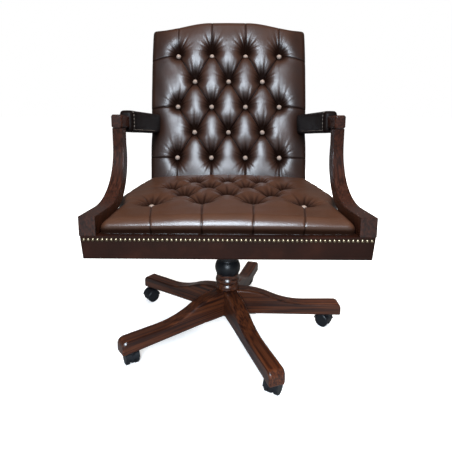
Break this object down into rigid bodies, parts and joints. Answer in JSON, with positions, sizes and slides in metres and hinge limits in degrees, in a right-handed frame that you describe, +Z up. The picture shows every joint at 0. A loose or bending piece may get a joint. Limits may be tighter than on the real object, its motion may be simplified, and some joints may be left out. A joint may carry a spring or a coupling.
{
  "type": "swivel_armchair",
  "caption": "Swivel armchair with a deep-buttoned brown leather back and seat, swept wooden arms and a wooden star base on twin-wheel casters.",
  "frame": {"origin": "centre of the column on the floor that the casters stand on", "axes": "+Z up, -Y forward the way the sitter faces, +X to the right hand of a person who looks at the chair from the front"},
  "size_m": [0.6723, 0.7231, 0.9882],
  "materials": {
    "walnut": "polished dark brown wood",
    "leather": "antique brown leather, rubbed lighter on the crests",
    "plywood": "raw",
    "button": "polished leather-covered buttons",
    "antique_brass": "darkened",
    "steel": "plain",
    "black_enamel": "black",
    "black_plastic": "black"
  },
  "bodies": {
    "base": {"base_leg_1": "walnut", "base_leg_2": "walnut", "base_leg_3": "walnut", "base_leg_4": "walnut", "base_leg_5": "walnut", "base_hub": "steel", "leg_bolts": "steel", "base_collar": "walnut", "column_cover": "black_plastic", "gas_lift_tube": "black_enamel", "guide_bush": "black_plastic", "thrust_bearing": "steel", "caster_stems": "steel"},
    "swivel_rod": {"piston_rod": "steel"},
    "lift": {"gas_lift_cylinder": "steel", "mechanism_housing": "black_enamel", "tilt_pin": "steel", "tilt_spring": "steel"},
    "valve": {"valve_pin": "steel"},
    "lever": {"height_lever": "black_plastic"},
    "seat": {"seat_plate": "black_enamel", "seat_deck": "plywood", "seat_rail_front": "leather", "seat_rail_left": "leather", "seat_rail_right": "leather", "seat_rail_back": "leather", "frame_bolts": "steel", "arm_post_left": "walnut", "arm_post_right": "walnut", "arm_rail_left": "walnut", "arm_rail_right": "walnut", "arm_pad_left": "leather", "arm_pad_right": "leather", "back_board": "plywood", "back_cover": "leather", "back_cushion": "leather", "seat_cushion": "leather", "buttons": "button", "nail_trim": "antique_brass"},
    "knob": {"tension_knob": "black_plastic"},
    "caster_1": {"caster_housing_1": "black_plastic", "caster_axle_1": "steel"},
    "wheel_1_a_body": {"wheel_1_a": "black_plastic"},
    "wheel_1_b_body": {"wheel_1_b": "black_plastic"},
    "caster_2": {"caster_housing_2": "black_plastic", "caster_axle_2": "steel"},
    "wheel_2_a_body": {"wheel_2_a": "black_plastic"},
    "wheel_2_b_body": {"wheel_2_b": "black_plastic"},
    "caster_3": {"caster_housing_3": "black_plastic", "caster_axle_3": "steel"},
    "wheel_3_a_body": {"wheel_3_a": "black_plastic"},
    "wheel_3_b_body": {"wheel_3_b": "black_plastic"},
    "caster_4": {"caster_housing_4": "black_plastic", "caster_axle_4": "steel"},
    "wheel_4_a_body": {"wheel_4_a": "black_plastic"},
    "wheel_4_b_body": {"wheel_4_b": "black_plastic"},
    "caster_5": {"caster_housing_5": "black_plastic", "caster_axle_5": "steel"},
    "wheel_5_a_body": {"wheel_5_a": "black_plastic"},
    "wheel_5_b_body": {"wheel_5_b": "black_plastic"}
  },
  "joints": [
    {"name": "seat_swivel", "type": "hinge", "parent": "base", "child": "swivel_rod", "pos_m": [0, 0, 0.07], "axis": [0, 0, 1], "continuous": true},
    {"name": "seat_height", "type": "slide", "parent": "swivel_rod", "child": "lift", "axis": [0, 0, 1], "range_m": [0, 0.095]},
    {"name": "seat_tilt", "type": "hinge", "parent": "lift", "child": "seat", "pos_m": [0, -0.05, 0.362], "axis": [-1, 0, 0], "range_deg": [0, 12], "stiffness_Nm_per_rad": 220, "springref_deg": -17.19, "deforming": ["tilt_spring"]},
    {"name": "lever_lift", "type": "hinge", "parent": "lift", "child": "lever", "pos_m": [-0.053, 0, 0.347], "axis": [0, 1, 0], "range_deg": [0, 4], "stiffness_Nm_per_rad": 4, "springref_deg": -11.46},
    {"name": "valve_press", "type": "slide", "parent": "lift", "child": "valve", "axis": [0, 0, -1], "range_m": [0, 0.00371]},
    {"name": "knob_turn", "type": "hinge", "parent": "seat", "child": "knob", "pos_m": [0, -0.112, 0.278], "axis": [0, 0, 1], "range_deg": [-720, 720]},
    {"name": "caster_1_swivel", "type": "hinge", "parent": "base", "child": "caster_1", "pos_m": [0.10563, -0.29995, 0.04], "axis": [0, 0, 1], "continuous": true},
    {"name": "wheel_1_a_roll", "type": "hinge", "parent": "caster_1", "child": "wheel_1_a_body", "pos_m": [0.11313, -0.28695, 0.021], "axis": [-0.866, 0.5, 0], "continuous": true},
    {"name": "wheel_1_b_roll", "type": "hinge", "parent": "caster_1", "child": "wheel_1_b_body", "pos_m": [0.11313, -0.28695, 0.021], "axis": [-0.866, 0.5, 0], "continuous": true},
    {"name": "caster_2_swivel", "type": "hinge", "parent": "base", "child": "caster_2", "pos_m": [0.3179, 0.00777, 0.04], "axis": [0, 0, 1], "continuous": true},
    {"name": "wheel_2_a_roll", "type": "hinge", "parent": "caster_2", "child": "wheel_2_a_body", "pos_m": [0.30641, 0.01741, 0.021], "axis": [-0.6428, -0.766, 0], "continuous": true},
    {"name": "wheel_2_b_roll", "type": "hinge", "parent": "caster_2", "child": "wheel_2_b_body", "pos_m": [0.30641, 0.01741, 0.021], "axis": [-0.6428, -0.766, 0], "continuous": true},
    {"name": "caster_3_swivel", "type": "hinge", "parent": "base", "child": "caster_3", "pos_m": [0.09085, 0.30475, 0.04], "axis": [0, 0, 1], "continuous": true},
    {"name": "wheel_3_a_roll", "type": "hinge", "parent": "caster_3", "child": "wheel_3_a_body", "pos_m": [0.07608, 0.30735, 0.021], "axis": [-0.1736, -0.9848, 0], "continuous": true},
    {"name": "wheel_3_b_roll", "type": "hinge", "parent": "caster_3", "child": "wheel_3_b_body", "pos_m": [0.07608, 0.30735, 0.021], "axis": [-0.1736, -0.9848, 0], "continuous": true},
    {"name": "caster_4_swivel", "type": "hinge", "parent": "base", "child": "caster_4", "pos_m": [-0.26176, 0.18057, 0.04], "axis": [0, 0, 1], "continuous": true},
    {"name": "wheel_4_a_roll", "type": "hinge", "parent": "caster_4", "child": "wheel_4_a_body", "pos_m": [-0.27325, 0.17093, 0.021], "axis": [0.6428, -0.766, 0], "continuous": true},
    {"name": "wheel_4_b_roll", "type": "hinge", "parent": "caster_4", "child": "wheel_4_b_body", "pos_m": [-0.27325, 0.17093, 0.021], "axis": [0.6428, -0.766, 0], "continuous": true},
    {"name": "caster_5_swivel", "type": "hinge", "parent": "base", "child": "caster_5", "pos_m": [-0.25262, -0.19315, 0.04], "axis": [0, 0, 1], "continuous": true},
    {"name": "wheel_5_a_roll", "type": "hinge", "parent": "caster_5", "child": "wheel_5_a_body", "pos_m": [-0.2599, -0.18003, 0.021], "axis": [-0.8746, -0.4848, 0], "continuous": true},
    {"name": "wheel_5_b_roll", "type": "hinge", "parent": "caster_5", "child": "wheel_5_b_body", "pos_m": [-0.2599, -0.18003, 0.021], "axis": [-0.8746, -0.4848, 0], "continuous": true}
  ],
  "couplings": [
    {"joint": "valve_press", "follows": "lever_lift", "m_per_rad": 0.053}
  ]
}
